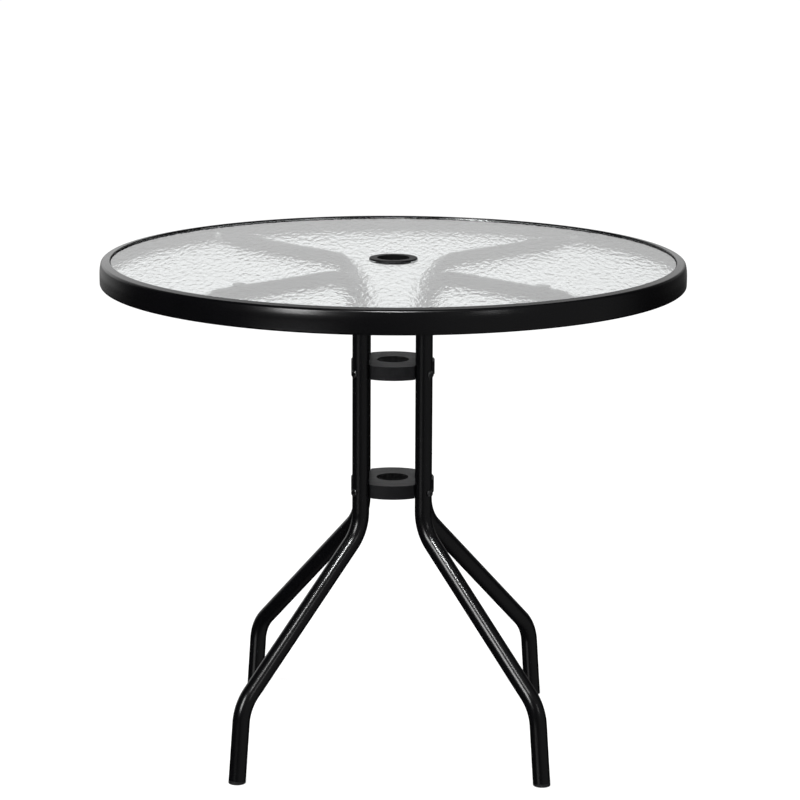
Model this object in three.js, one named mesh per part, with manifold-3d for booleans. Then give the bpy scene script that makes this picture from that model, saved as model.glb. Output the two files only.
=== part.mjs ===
// Round umbrella table: a steel rim with a drop-in glass top on four bent-tube legs.
// Two moulded collars hold the legs together round the umbrella pole.
// Millimetres, +Z up, origin on the floor below the centre of the table.

import * as THREE from 'three';
import { mergeVertices } from 'three/addons/utils/BufferGeometryUtils.js';
import Module from 'manifold-3d';

// Table
const tableDiameter = 800;
const tableHeight = 684;
const poleHoleDiameter = 43.5;

// Clearances and cuts
const fitGap = 0.3;
const overrun = 2;

// Rim tube
const rimWidth = 14;
const rimHeight = 34;
const rimWall = 1.5;
const rimTopFall = 2;
const rimCornerRadius = 3;
const rimShoulderRadius = 4.5;
const rimInnerEdgeRadius = 0.8;
const drainHoleDiameter = 5;

// Glass and the ledge it lies on
const glassRecess = 2.5;
const glassThickness = 5;
const glassEdgeGap = 0.6;
const glassChamfer = 0.8;
const ledgeWidth = 2.5;
const ledgeThickness = 2.5;

// Grommet in the glass
const grommetWall = 2.4;
const grommetFlangeWidth = 9;
const grommetFlangeThickness = 2.2;
const grommetLipWidth = 1.4;
const grommetLipHeight = 3;
const grommetChamfer = 0.8;

// Leg tubes, as a radius from the table's axis and a height
const tubeDiameter = 23.5;
const tubeWall = 1.2;
const bendRadius = 60;
const uprightRadius = 60.8;
const splayHeight = 311.5;
const ankleRadius = 280;
const ankleHeight = 105;
const footRadius = 290;

// Pressed ends of the arms
const pressedThickness = 4;
const pressedSlit = 0.8;
const pressedMargin = 4;
const pressedTaper = 30;
const pressedFlatnessShare = 1.6;
const armEndGap = 2;

// Foot plugs
const plugSole = 4;
const plugStemLength = 16;
const plugChamfer = 1;

// Pads between the arms and the glass
const padPlaceFromRim = 106;
const padDiameter = 18;
const padThickness = 2;
const padChamfer = 0.6;
const padStemDiameter = 4.4;
const padStemLength = 6;

// Brackets on the rim
const bracketWidth = 30;
const bracketReach = 36;
const bracketThickness = 2.5;

// Bolts, washers and nuts of the arms, with shares of the bolt's diameter or of the bracket's reach
const boltDiameter = 6;
const boltHolePlay = 0.8;
const boltPlaceShare = 0.61;
const boltHeadHeight = 4;
const boltEndBeyondNut = 1;
const hexWidthShare = 1.67;
const nutHeight = 5;
const washerDiameterShare = 2.1;
const washerThickness = 1.2;

// Collars: the notches for the tubes set their diameter
const collarNotchDepth = 8.75;
const collarThickness = 19;
const upperCollarBelowArms = 119.95;
const lowerCollarAboveSplay = 64.5;
const collarChamfer = 1;
const collarNotchFillet = 5;
const collarTopPlate = 3;
const collarWall = 3;
const collarBossWidth = 11;
const collarRibWidth = 2.4;

// Collar screws, with shares of the collar's thickness, the screw's diameter and its head
const screwDiameter = 4.6;
const screwHolePlay = 0.8;
const screwDropShare = 0.64;
const screwTipWall = 13;
const screwHeadShare = 2.2;
const screwHeadHeight = 2.4;
const screwHeadEdgeShare = 0.36;
const crossRecessLengthShare = 0.52;
const crossRecessWidthShare = 0.13;
const crossRecessDepthShare = 0.5;

// Facets
const ringFacets = 72;
const tubeFacets = 16;
const boreFacets = 8;
const smallFacets = 12;
const grommetFacets = 32;
const pocketFacets = 24;
const hexFacets = 6;
const cornerSteps = 2;
const bendStepAngle = THREE.MathUtils.degToRad(15);
const taperSteps = 4;
const collarStepAngle = THREE.MathUtils.degToRad(14);
const notchSteps = 7;
const filletSteps = 3;

// Heights and radii that follow from the sizes above
const rimOuter = tableDiameter / 2;
const rimInner = rimOuter - rimWidth;
const rimInnerFlat = rimInner * Math.cos(Math.PI / ringFacets);
const glassTop = tableHeight - glassRecess;
const glassBottom = glassTop - glassThickness;
const ledgeTop = glassBottom - fitGap;
const ledgeBottom = ledgeTop - ledgeThickness;
const tubeRadius = tubeDiameter / 2;
const boreRadius = tubeRadius - tubeWall;
const poleHoleRadius = poleHoleDiameter / 2;
const grommetBarrel = poleHoleRadius + grommetWall;
const grommetFlange = grommetBarrel + grommetFlangeWidth;
const padTop = glassBottom - fitGap;
const padSeat = padTop - padThickness;
const armHeight = padSeat - fitGap - tubeRadius;
const armEnd = rimInner - bracketThickness - armEndGap;
const padPlace = rimInner - padPlaceFromRim;
const boltPlace = rimInner - bracketReach * boltPlaceShare;
const boltHoleRadius = (boltDiameter + boltHolePlay) / 2;
const pressedTop = armHeight + pressedThickness / 2;
const pressedBottom = armHeight - pressedThickness / 2;
const bracketBottom = pressedTop + fitGap;
const bracketTop = bracketBottom + bracketThickness;
const washerTop = pressedBottom - fitGap;
const washerBottom = washerTop - washerThickness;
const notchRadius = tubeRadius + fitGap;
const collarRadius = uprightRadius - notchRadius + collarNotchDepth;
const upperCollarTop = armHeight - upperCollarBelowArms;
const lowerCollarTop = splayHeight + lowerCollarAboveSplay;
const screwDrop = collarThickness * screwDropShare;
const screwRadius = screwDiameter / 2;
const screwHoleRadius = (screwDiameter + screwHolePlay) / 2;
const screwTip = poleHoleRadius + screwTipWall;
const legAngles = {
  front_left: THREE.MathUtils.degToRad(225),
  front_right: THREE.MathUtils.degToRad(315),
  back_right: THREE.MathUtils.degToRad(45),
  back_left: THREE.MathUtils.degToRad(135),
};

const wasm = await Module();
wasm.setup();

// Finishes
const paintedSteel = new THREE.MeshStandardMaterial({ color: 0x141418, roughness: 0.35, metalness: 0.5 });
const bareSteel = new THREE.MeshStandardMaterial({ color: 0x9a9a98, roughness: 0.4, metalness: 0.9 });
const blackScrew = new THREE.MeshStandardMaterial({ color: 0x1a1a1c, roughness: 0.3, metalness: 0.8 });
const collarPlastic = new THREE.MeshStandardMaterial({ color: 0x303034, roughness: 0.6, metalness: 0 });
const plugPlastic = new THREE.MeshStandardMaterial({ color: 0x161618, roughness: 0.6, metalness: 0 });
const padRubber = new THREE.MeshStandardMaterial({ color: 0x1c1c1c, roughness: 0.85, metalness: 0 });
const textureGlass = new THREE.MeshStandardMaterial({
  color: 0xdfe6e6,
  roughness: 0.1,
  metalness: 0,
  transparent: true,
  opacity: 0.35,
});

// From a closed geometry to a solid and back
function solidOf(geometry) {
  const bare = geometry.index ? geometry.toNonIndexed() : geometry.clone();
  bare.deleteAttribute('normal');
  bare.deleteAttribute('uv');
  const merged = mergeVertices(bare);
  return new wasm.Manifold(
    new wasm.Mesh({
      numProp: 3,
      vertProperties: new Float32Array(merged.attributes.position.array),
      triVerts: new Uint32Array(merged.index.array),
    }),
  );
}

function geometryOf(solid) {
  const mesh = solid.getMesh();
  const geometry = new THREE.BufferGeometry();
  geometry.setAttribute('position', new THREE.BufferAttribute(new Float32Array(mesh.vertProperties), 3));
  geometry.setIndex(new THREE.BufferAttribute(new Uint32Array(mesh.triVerts), 1));
  geometry.computeVertexNormals();
  return geometry;
}

// A turned piece: the outline is given as radius and height and turned round the Z axis
function turned(outline, facets) {
  const points = outline.map(([radius, height]) => new THREE.Vector2(radius, height));
  return new THREE.LatheGeometry(points, facets).rotateX(Math.PI / 2);
}

// A turned ring: its outline closes on itself
function turnedRing(outline, facets) {
  return turned([...outline, outline[0]], facets);
}

function barAlongZ(radius, bottom, top, facets) {
  const height = top - bottom;
  return new THREE.CylinderGeometry(radius, radius, height, facets)
    .rotateX(Math.PI / 2)
    .translate(0, 0, bottom + height / 2);
}

function barAlongX(radius, start, end, facets) {
  return barAlongZ(radius, start, end, facets).rotateY(Math.PI / 2);
}

function block(xRange, yRange, zRange) {
  const size = [xRange, yRange, zRange].map(([low, high]) => high - low);
  const middle = [xRange, yRange, zRange].map(([low, high]) => (low + high) / 2);
  return new THREE.BoxGeometry(...size).translate(...middle);
}

function arcPoints(centre, radius, start, end, steps) {
  return Array.from({ length: steps + 1 }, (_, step) => {
    const angle = start + ((end - start) * step) / steps;
    return new THREE.Vector2(centre.x + radius * Math.cos(angle), centre.y + radius * Math.sin(angle));
  });
}

// Outline with rounded corners, anticlockwise, for the rim's section: each corner is a radius from the
// table's axis, a height and its own corner radius
function roundedOutline(corners, steps) {
  return corners.flatMap(([radius, height, cornerRadius], index) => {
    const corner = new THREE.Vector2(radius, height);
    const [beforeRadius, beforeHeight] = corners[(index + corners.length - 1) % corners.length];
    const [afterRadius, afterHeight] = corners[(index + 1) % corners.length];
    const arriving = corner.clone().sub(new THREE.Vector2(beforeRadius, beforeHeight)).normalize();
    const leaving = new THREE.Vector2(afterRadius, afterHeight).sub(corner).normalize();
    const turn = Math.acos(arriving.dot(leaving));
    const inward = new THREE.Vector2(-arriving.y, arriving.x);
    const centre = corner.clone().addScaledVector(arriving, -cornerRadius * Math.tan(turn / 2));
    centre.addScaledVector(inward, cornerRadius);
    const start = Math.atan2(-inward.y, -inward.x);
    const points = arcPoints(centre, cornerRadius, start, start + turn, steps);
    return points.map((point) => [point.x, point.y]);
  });
}

// Rim: a closed steel tube bent into a ring, its top falling a little outwards, with drain holes in
// its underside
function makeRim() {
  const bottom = tableHeight - rimHeight;
  const shoulder = tableHeight - rimTopFall;
  const skin = roundedOutline(
    [
      [rimOuter, bottom, rimCornerRadius],
      [rimOuter, shoulder, rimShoulderRadius],
      [rimInner, tableHeight, rimInnerEdgeRadius],
      [rimInner, bottom, rimCornerRadius],
    ],
    cornerSteps,
  );
  const hollow = roundedOutline(
    [
      [rimOuter - rimWall, bottom + rimWall, Math.max(rimCornerRadius - rimWall, fitGap)],
      [rimOuter - rimWall, shoulder - rimWall, Math.max(rimShoulderRadius - rimWall, fitGap)],
      [rimInner + rimWall, tableHeight - rimWall, Math.max(rimInnerEdgeRadius - rimWall, fitGap)],
      [rimInner + rimWall, bottom + rimWall, Math.max(rimCornerRadius - rimWall, fitGap)],
    ],
    1,
  );
  let rim = solidOf(turnedRing(skin, ringFacets)).subtract(solidOf(turnedRing(hollow, ringFacets)));
  const middle = (rimInner + rimOuter) / 2;
  const drain = barAlongZ(drainHoleDiameter / 2, bottom - overrun, bottom + rimWall + overrun, smallFacets);
  drain.translate(middle, 0, 0);
  const drains = Object.keys(legAngles).length;
  for (let side = 0; side < drains; side += 1) {
    const turnedDrain = drain.clone().rotateZ((side / drains) * 2 * Math.PI);
    rim = rim.subtract(solidOf(turnedDrain));
  }
  return geometryOf(rim);
}

// Ledge: a square steel wire welded round the inside of the rim
function makeLedge() {
  const outer = rimInner - fitGap;
  const outline = [
    [rimInner - ledgeWidth, ledgeBottom],
    [outer, ledgeBottom],
    [outer, ledgeTop],
    [rimInner - ledgeWidth, ledgeTop],
  ];
  return turnedRing(outline, ringFacets);
}

// Glass: a flat pane with ground edges and a hole for the umbrella pole. Its clear top starts
// where the grommet's flange ends.
function makeGlass() {
  const edge = rimInner - glassEdgeGap;
  const hole = grommetBarrel + fitGap;
  const outline = [
    [hole, glassBottom],
    [edge - glassChamfer, glassBottom],
    [edge, glassBottom + glassChamfer],
    [edge, glassTop - glassChamfer],
    [edge - glassChamfer, glassTop],
    [grommetFlange + fitGap, glassTop],
    [hole, glassTop],
  ];
  return turnedRing(outline, ringFacets);
}

// Grommet: lines the hole in the glass and snaps in with a lip below
function makeGrommet() {
  const seat = glassTop + fitGap;
  const top = seat + grommetFlangeThickness;
  const lipTop = glassBottom - fitGap;
  const lipBottom = lipTop - grommetLipHeight;
  const outline = [
    [poleHoleRadius, lipBottom],
    [grommetBarrel, lipBottom],
    [grommetBarrel + grommetLipWidth, lipTop],
    [grommetBarrel, lipTop],
    [grommetBarrel, seat],
    [grommetFlange, seat],
    [grommetFlange, top - grommetChamfer],
    [grommetFlange - grommetChamfer, top],
    [poleHoleRadius + grommetChamfer, top],
    [poleHoleRadius, top - grommetChamfer],
  ];
  return turnedRing(outline, grommetFacets);
}

// Centre line of a leg tube in its upright plane, X outwards from the table's axis
const foot = new THREE.Vector3(footRadius, 0, 0);
const ankle = new THREE.Vector3(ankleRadius, 0, ankleHeight);
const splay = new THREE.Vector3(uprightRadius, 0, splayHeight);
const shoulder = new THREE.Vector3(uprightRadius, 0, armHeight);
const armTip = new THREE.Vector3(armEnd, 0, armHeight);
const footAxis = ankle.clone().sub(foot).normalize();
const footTilt = Math.atan2(footAxis.x, footAxis.z);

// Stations of a bent tube: a point and a tangent at each end of the straights and through the bends
function bentStations(corners) {
  const stations = [];
  const first = corners[1].clone().sub(corners[0]).normalize();
  stations.push({ point: corners[0].clone(), tangent: first });
  for (let index = 1; index < corners.length - 1; index += 1) {
    const corner = corners[index];
    const before = corner.clone().sub(corners[index - 1]).normalize();
    const after = corners[index + 1].clone().sub(corner).normalize();
    const turn = before.angleTo(after);
    const axis = before.clone().cross(after).normalize();
    const start = corner.clone().addScaledVector(before, -bendRadius * Math.tan(turn / 2));
    const centre = start.clone().addScaledVector(axis.clone().cross(before), bendRadius);
    const steps = Math.ceil(turn / bendStepAngle);
    for (let step = 0; step <= steps; step += 1) {
      const angle = (turn * step) / steps;
      const point = start.clone().sub(centre).applyAxisAngle(axis, angle).add(centre);
      const tangent = before.clone().applyAxisAngle(axis, angle);
      stations.push({ point, tangent });
    }
  }
  return stations;
}

class StationCurve extends THREE.Curve {
  constructor(stations) {
    super();
    this.stations = stations;
  }

  stationAt(share) {
    return this.stations[Math.round(share * (this.stations.length - 1))];
  }

  getPointAt(share, target = new THREE.Vector3()) {
    return target.copy(this.stationAt(share).point);
  }

  getTangentAt(share, target = new THREE.Vector3()) {
    return target.copy(this.stationAt(share).tangent);
  }
}

function ringOutline(radius, facets) {
  return arcPoints(new THREE.Vector2(0, 0), radius, 0, 2 * Math.PI, facets).slice(0, -1);
}

// Leg tube: swept round section, then pressed flat at the arm's end and drilled
function makeLegTube() {
  const start = foot.clone().addScaledVector(footAxis, plugSole);
  const stations = bentStations([start, ankle, splay, shoulder, armTip]);
  const along = new THREE.Vector3(1, 0, 0);
  const taperStart = armEnd - bracketReach - pressedMargin - pressedTaper;
  for (let step = 0; step <= taperSteps; step += 1) {
    const place = taperStart + (pressedTaper * step) / taperSteps;
    stations.push({ point: new THREE.Vector3(place, 0, armHeight), tangent: along });
  }
  stations.push({ point: armTip.clone(), tangent: along });

  const section = new THREE.Shape(ringOutline(tubeRadius, tubeFacets));
  section.holes.push(new THREE.Path(ringOutline(boreRadius, boreFacets)));
  const tube = new THREE.ExtrudeGeometry(section, {
    steps: stations.length - 1,
    extrudePath: new StationCurve(stations),
  });
  pressArmEnd(tube, taperStart);

  const boltHole = barAlongZ(
    boltHoleRadius,
    pressedBottom - overrun,
    pressedTop + overrun,
    smallFacets,
  ).translate(boltPlace, 0, 0);
  const padHole = barAlongZ(
    padStemDiameter / 2 + fitGap,
    armHeight + boreRadius - overrun,
    armHeight + tubeRadius + overrun,
    smallFacets,
  ).translate(padPlace, 0, 0);
  let solid = solidOf(tube).subtract(solidOf(boltHole)).subtract(solidOf(padHole));
  for (const collarTop of [upperCollarTop, lowerCollarTop]) {
    const screwHole = barAlongX(
      screwHoleRadius,
      uprightRadius - tubeRadius - overrun,
      uprightRadius + tubeRadius + overrun,
      smallFacets,
    ).translate(0, 0, collarTop - screwDrop);
    solid = solid.subtract(solidOf(screwHole));
  }
  return geometryOf(solid);
}

// Pressing keeps the tube's girth: the section gets wider as it gets flat
function pressArmEnd(tube, taperStart) {
  const position = tube.attributes.position;
  const pressedHalfWidth = (Math.PI * tubeDiameter) / 4;
  for (let index = 0; index < position.count; index += 1) {
    const x = position.getX(index);
    const y = position.getY(index);
    const rise = position.getZ(index) - armHeight;
    if (x < taperStart - overrun || Math.abs(rise) > tubeRadius + fitGap) {
      continue;
    }
    const pressed = THREE.MathUtils.smoothstep(x, taperStart, taperStart + pressedTaper);
    const onSkin = Math.hypot(y, rise) > (tubeRadius + boreRadius) / 2;
    const radius = onSkin ? tubeRadius : boreRadius;
    const flatHalf = onSkin ? pressedThickness / 2 : pressedSlit / 2;
    const wideHalf = onSkin ? pressedHalfWidth : pressedHalfWidth - tubeWall;
    const flatShare = Math.min(1, (Math.abs(rise) / radius) * pressedFlatnessShare);
    const flatRise = Math.sign(rise) * flatHalf * flatShare;
    const wideY = (y / radius) * wideHalf;
    position.setY(index, THREE.MathUtils.lerp(y, wideY, pressed));
    position.setZ(index, armHeight + THREE.MathUtils.lerp(rise, flatRise, pressed));
  }
}

// Foot plug: a stem in the tube and a sole cut level with the floor
function makeFootPlug() {
  const stem = boreRadius * Math.cos(Math.PI / boreFacets) - fitGap;
  const shoulderHeight = plugSole - fitGap;
  const outline = [
    [0, -tubeRadius],
    [tubeRadius, -tubeRadius],
    [tubeRadius, shoulderHeight],
    [stem, shoulderHeight],
    [stem, plugSole + plugStemLength - plugChamfer],
    [stem - plugChamfer, plugSole + plugStemLength],
    [0, plugSole + plugStemLength],
  ];
  const plug = turned(outline, tubeFacets).rotateY(footTilt).translate(footRadius, 0, 0);
  const reach = tubeDiameter + overrun;
  const below = block(
    [footRadius - reach, footRadius + reach],
    [-reach, reach],
    [-tubeDiameter - overrun, 0],
  );
  return geometryOf(solidOf(plug).subtract(solidOf(below)));
}

// Glass pad: a rubber button with a stem in the arm
function makeGlassPad() {
  const outline = [
    [0, padSeat - padStemLength],
    [padStemDiameter / 2, padSeat - padStemLength],
    [padStemDiameter / 2, padSeat],
    [padDiameter / 2, padSeat],
    [padDiameter / 2, padTop - padChamfer],
    [padDiameter / 2 - padChamfer, padTop],
    [0, padTop],
  ];
  return turned(outline, smallFacets).translate(padPlace, 0, 0);
}

// Rim bracket: a steel angle welded to the rim, drilled for the arm's bolt
function makeRimBracket() {
  const back = Math.sqrt((rimInnerFlat - fitGap) ** 2 - (bracketWidth / 2) ** 2);
  const sides = [-bracketWidth / 2, bracketWidth / 2];
  const plate = block([back - bracketReach, back], sides, [bracketBottom, bracketTop]);
  const upstand = block([back - bracketThickness, back], sides, [bracketBottom, ledgeBottom - fitGap]);
  const hole = barAlongZ(boltHoleRadius, bracketBottom - overrun, bracketTop + overrun, smallFacets);
  hole.translate(boltPlace, 0, 0);
  return geometryOf(solidOf(plate).add(solidOf(upstand)).subtract(solidOf(hole)));
}

function hexPrism(bottom, top) {
  const flatRadius = (boltDiameter * hexWidthShare) / 2;
  const cornerRadius = flatRadius / Math.cos(Math.PI / hexFacets);
  return barAlongZ(cornerRadius, bottom, top, hexFacets);
}

// Arm bolt, washer and nut
function makeArmBolt() {
  const headTop = washerBottom - fitGap;
  const end = bracketTop + fitGap + nutHeight + boltEndBeyondNut;
  const head = hexPrism(headTop - boltHeadHeight, headTop);
  const shank = barAlongZ(boltDiameter / 2, headTop - boltHeadHeight / 2, end, smallFacets);
  return geometryOf(solidOf(head).add(solidOf(shank))).translate(boltPlace, 0, 0);
}

function makeArmWasher() {
  const edge = (boltDiameter * washerDiameterShare) / 2;
  const outline = [
    [boltHoleRadius, washerBottom],
    [edge, washerBottom],
    [edge, washerTop],
    [boltHoleRadius, washerTop],
  ];
  return turnedRing(outline, smallFacets).translate(boltPlace, 0, 0);
}

function makeArmNut() {
  const bottom = bracketTop + fitGap;
  const top = bottom + nutHeight;
  const hole = barAlongZ(boltDiameter / 2 + fitGap, bottom - overrun, top + overrun, smallFacets);
  const nut = solidOf(hexPrism(bottom, top)).subtract(solidOf(hole));
  return geometryOf(nut).translate(boltPlace, 0, 0);
}

// Collar screw: a pan head with a cross recess on the outside of the tube
function makeCollarScrew() {
  const seat = uprightRadius + tubeRadius + fitGap;
  const top = seat + screwHeadHeight;
  const headRadius = screwRadius * screwHeadShare;
  const headEdge = screwHeadHeight * screwHeadEdgeShare;
  const outline = [
    [0, screwTip],
    [screwRadius, screwTip + screwRadius],
    [screwRadius, seat],
    [headRadius, seat],
    [headRadius, seat + headEdge],
    [headRadius - headEdge, top],
    [0, top],
  ];
  const screw = solidOf(turned(outline, smallFacets));
  const longHalf = headRadius * crossRecessLengthShare;
  const thinHalf = headRadius * crossRecessWidthShare;
  const depth = [top - screwHeadHeight * crossRecessDepthShare, top + overrun];
  const slot = solidOf(block([-longHalf, longHalf], [-thinHalf, thinHalf], depth));
  const crossSlot = solidOf(block([-thinHalf, thinHalf], [-longHalf, longHalf], depth));
  return geometryOf(screw.subtract(slot.add(crossSlot))).rotateY(Math.PI / 2);
}

// Collar outline: a disc with a rounded notch for each tube
function collarOutline() {
  const centre = new THREE.Vector2(0, 0);
  const filletOrbit = collarRadius - collarNotchFillet;
  const filletToNotch = notchRadius + collarNotchFillet;
  const filletShift = Math.acos(
    (filletOrbit ** 2 + uprightRadius ** 2 - filletToNotch ** 2) / (2 * filletOrbit * uprightRadius),
  );
  const mouth = Math.atan2(
    filletOrbit * Math.sin(filletShift),
    uprightRadius - filletOrbit * Math.cos(filletShift),
  );
  const arms = Object.keys(legAngles).length;
  const quarter = (2 * Math.PI) / arms;
  const rimSteps = Math.ceil((quarter - 2 * filletShift) / collarStepAngle);
  const outline = [];
  for (let arm = 0; arm < arms; arm += 1) {
    const notchAngle = quarter * arm + quarter / 2;
    const notch = new THREE.Vector2(uprightRadius, 0).rotateAround(centre, notchAngle);
    const before = new THREE.Vector2(filletOrbit, 0).rotateAround(centre, notchAngle - filletShift);
    const after = new THREE.Vector2(filletOrbit, 0).rotateAround(centre, notchAngle + filletShift);
    outline.push(
      ...arcPoints(
        centre,
        collarRadius,
        notchAngle - quarter + filletShift,
        notchAngle - filletShift,
        rimSteps,
      ),
      ...arcPoints(
        before,
        collarNotchFillet,
        notchAngle - filletShift,
        notchAngle + mouth,
        filletSteps,
      ).slice(1),
      ...arcPoints(
        notch,
        notchRadius,
        notchAngle + mouth - Math.PI,
        notchAngle - mouth - Math.PI,
        notchSteps,
      ).slice(1),
      ...arcPoints(
        after,
        collarNotchFillet,
        notchAngle - mouth,
        notchAngle + filletShift,
        filletSteps,
      ).slice(1, -1),
    );
  }
  return outline;
}

// Collar: open below, with a wall round each notch and a boss for each screw
function makeCollar() {
  const shape = new THREE.Shape(collarOutline());
  shape.holes.push(new THREE.Path(ringOutline(poleHoleRadius, grommetFacets)));
  const body = new THREE.ExtrudeGeometry(shape, {
    depth: collarThickness - 2 * collarChamfer,
    bevelThickness: collarChamfer,
    bevelSize: collarChamfer,
    bevelOffset: -collarChamfer,
    bevelSegments: 1,
  }).translate(0, 0, collarChamfer - collarThickness);

  const innerWall = poleHoleRadius + collarWall;
  const outerWall = collarRadius - collarWall;
  const floor = -collarThickness - overrun;
  const ceiling = -collarTopPlate;
  const pocketOutline = [
    [innerWall, floor],
    [outerWall, floor],
    [outerWall, ceiling],
    [innerWall, ceiling],
  ];
  const through = [floor - overrun, ceiling + overrun];
  const notchWall = barAlongZ(notchRadius + collarWall, ...through, tubeFacets);
  notchWall.translate(uprightRadius, 0, 0);
  const bossSides = [-collarBossWidth / 2, collarBossWidth / 2];
  const boss = block([poleHoleRadius, uprightRadius], bossSides, through);
  const ribSides = [-collarRibWidth / 2, collarRibWidth / 2];
  const rib = block([poleHoleRadius, collarRadius], ribSides, through);
  const hole = barAlongX(
    screwHoleRadius,
    screwTip - overrun,
    uprightRadius,
    smallFacets,
  ).translate(0, 0, -screwDrop);

  let pocket = solidOf(turnedRing(pocketOutline, pocketFacets));
  let collar = solidOf(body);
  const holes = [];
  for (const angle of Object.values(legAngles)) {
    const ribAngle = angle + Math.PI / 4;
    pocket = pocket
      .subtract(solidOf(notchWall.clone().rotateZ(angle)))
      .subtract(solidOf(boss.clone().rotateZ(angle)))
      .subtract(solidOf(rib.clone().rotateZ(ribAngle)));
    holes.push(solidOf(hole.clone().rotateZ(angle)));
  }
  collar = collar.subtract(pocket);
  for (const screwHole of holes) {
    collar = collar.subtract(screwHole);
  }
  return geometryOf(collar);
}

// Assembly
const table = new THREE.Group();

function addPiece(parent, name, geometry, material) {
  const mesh = new THREE.Mesh(geometry, material);
  mesh.name = name;
  parent.add(mesh);
  return mesh;
}

addPiece(table, 'rim_ring', makeRim(), paintedSteel);
addPiece(table, 'glass_ledge_ring', makeLedge(), paintedSteel);
addPiece(table, 'glass_top', makeGlass(), textureGlass);
addPiece(table, 'pole_hole_ring', makeGrommet(), collarPlastic);

const collarGeometry = makeCollar();
addPiece(table, 'upper_collar', collarGeometry, collarPlastic).position.z = upperCollarTop;
addPiece(table, 'lower_collar', collarGeometry, collarPlastic).position.z = lowerCollarTop;

const legPieces = [
  ['leg_tube', makeLegTube(), paintedSteel],
  ['foot_plug', makeFootPlug(), plugPlastic],
  ['glass_pad', makeGlassPad(), padRubber],
  ['rim_bracket', makeRimBracket(), paintedSteel],
  ['arm_bolt', makeArmBolt(), bareSteel],
  ['arm_washer', makeArmWasher(), bareSteel],
  ['arm_nut', makeArmNut(), bareSteel],
];
const screwGeometry = makeCollarScrew();
for (const [place, angle] of Object.entries(legAngles)) {
  const leg = new THREE.Group();
  leg.rotation.z = angle;
  table.add(leg);
  for (const [name, geometry, material] of legPieces) {
    addPiece(leg, `${name}_${place}`, geometry, material);
  }
  const upperScrew = addPiece(leg, `upper_collar_screw_${place}`, screwGeometry, blackScrew);
  upperScrew.position.z = upperCollarTop - screwDrop;
  const lowerScrew = addPiece(leg, `lower_collar_screw_${place}`, screwGeometry, blackScrew);
  lowerScrew.position.z = lowerCollarTop - screwDrop;
}

export default table;
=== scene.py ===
import math

import bmesh
import bpy
from mathutils import Matrix, Vector, noise


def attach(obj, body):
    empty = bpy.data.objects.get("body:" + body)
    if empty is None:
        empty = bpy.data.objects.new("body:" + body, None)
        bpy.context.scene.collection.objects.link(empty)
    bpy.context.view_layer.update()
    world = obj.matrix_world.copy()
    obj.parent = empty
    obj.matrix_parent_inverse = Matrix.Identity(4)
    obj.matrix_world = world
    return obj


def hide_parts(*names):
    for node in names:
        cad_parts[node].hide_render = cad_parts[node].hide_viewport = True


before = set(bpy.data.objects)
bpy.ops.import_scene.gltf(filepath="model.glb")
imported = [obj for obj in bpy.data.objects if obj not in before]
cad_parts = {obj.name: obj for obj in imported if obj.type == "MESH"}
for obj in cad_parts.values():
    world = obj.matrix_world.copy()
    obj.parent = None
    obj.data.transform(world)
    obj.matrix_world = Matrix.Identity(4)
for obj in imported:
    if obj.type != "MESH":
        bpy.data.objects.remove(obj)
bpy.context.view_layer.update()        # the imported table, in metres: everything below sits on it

scene = bpy.context.scene
scene.view_settings.view_transform = "Standard"

# Azimuth of each leg, seen from above, in degrees
legAngles = {"front_left": 225, "front_right": 315, "back_right": 45, "back_left": 135}


# Shader helpers

class Wire:
    # an output socket that can be used in sums
    def __init__(self, shading, socket):
        self.shading = shading
        self.socket = socket

    def maths(self, operation, first, second):
        return self.shading.node("Math", {"operation": operation}, {0: first, 1: second})

    def __add__(self, other):
        return self.maths("ADD", self, other)

    def __radd__(self, other):
        return self.maths("ADD", other, self)

    def __sub__(self, other):
        return self.maths("SUBTRACT", self, other)

    def __rsub__(self, other):
        return self.maths("SUBTRACT", other, self)

    def __mul__(self, other):
        return self.maths("MULTIPLY", self, other)

    def __rmul__(self, other):
        return self.maths("MULTIPLY", other, self)


class Shading:
    # a node tree, with one method that adds any node
    def __init__(self, tree):
        self.tree = tree

    def node(self, kind, settings=None, inputs=None, output=0):
        made = self.tree.nodes.new("ShaderNode" + kind)
        for name, value in (settings or {}).items():
            setattr(made, name, value)
        for name, value in (inputs or {}).items():
            if isinstance(value, Wire):
                self.tree.links.new(value.socket, made.inputs[name])
            else:
                made.inputs[name].default_value = value
        return Wire(self, made.outputs[output])

    def places(self, stretch=(1, 1, 1)):
        spot = self.node("TexCoord", output="Object")
        return self.node("Mapping", {}, {"Vector": spot, "Scale": stretch})

    def height(self):
        return self.node("SeparateXYZ", {}, {0: self.node("TexCoord", output="Object")}, output=2)

    def cloud(self, scale, detail, stretch=(1, 1, 1)):
        inputs = {"Vector": self.places(stretch), "Scale": scale, "Detail": detail}
        return self.node("TexNoise", {}, inputs)

    def between(self, value, low, high, newLow=0.0, newHigh=1.0):
        inputs = {0: value, 1: low, 2: high, 3: newLow, 4: newHigh}
        return self.node("MapRange", {"interpolation_type": "SMOOTHSTEP"}, inputs)

    def blend(self, factor, first, second):
        first, second = (
            colour if isinstance(colour, Wire) else (*colour, 1) for colour in (first, second)
        )
        return self.node("Mix", {"data_type": "RGBA"}, {0: factor, 6: first, 7: second}, output=2)

    def bump(self, height, distance):
        return self.node("Bump", {}, {"Height": height, "Distance": distance})


def newFinish(name, constants, varying):
    material = bpy.data.materials.new(name)
    material.use_nodes = True
    shader = material.node_tree.nodes["Principled BSDF"]
    for socket, value in constants.items():
        shader.inputs[socket].default_value = value
    shading = Shading(material.node_tree)
    for socket, wire in varying(shading).items():
        material.node_tree.links.new(wire.socket, shader.inputs[socket])
    return material


# Finishes: a cloud's numbers are its scale, its detail and how it is stretched, and a name that ends
# in From is the range over which a mask rises from 0 to 1

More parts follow.
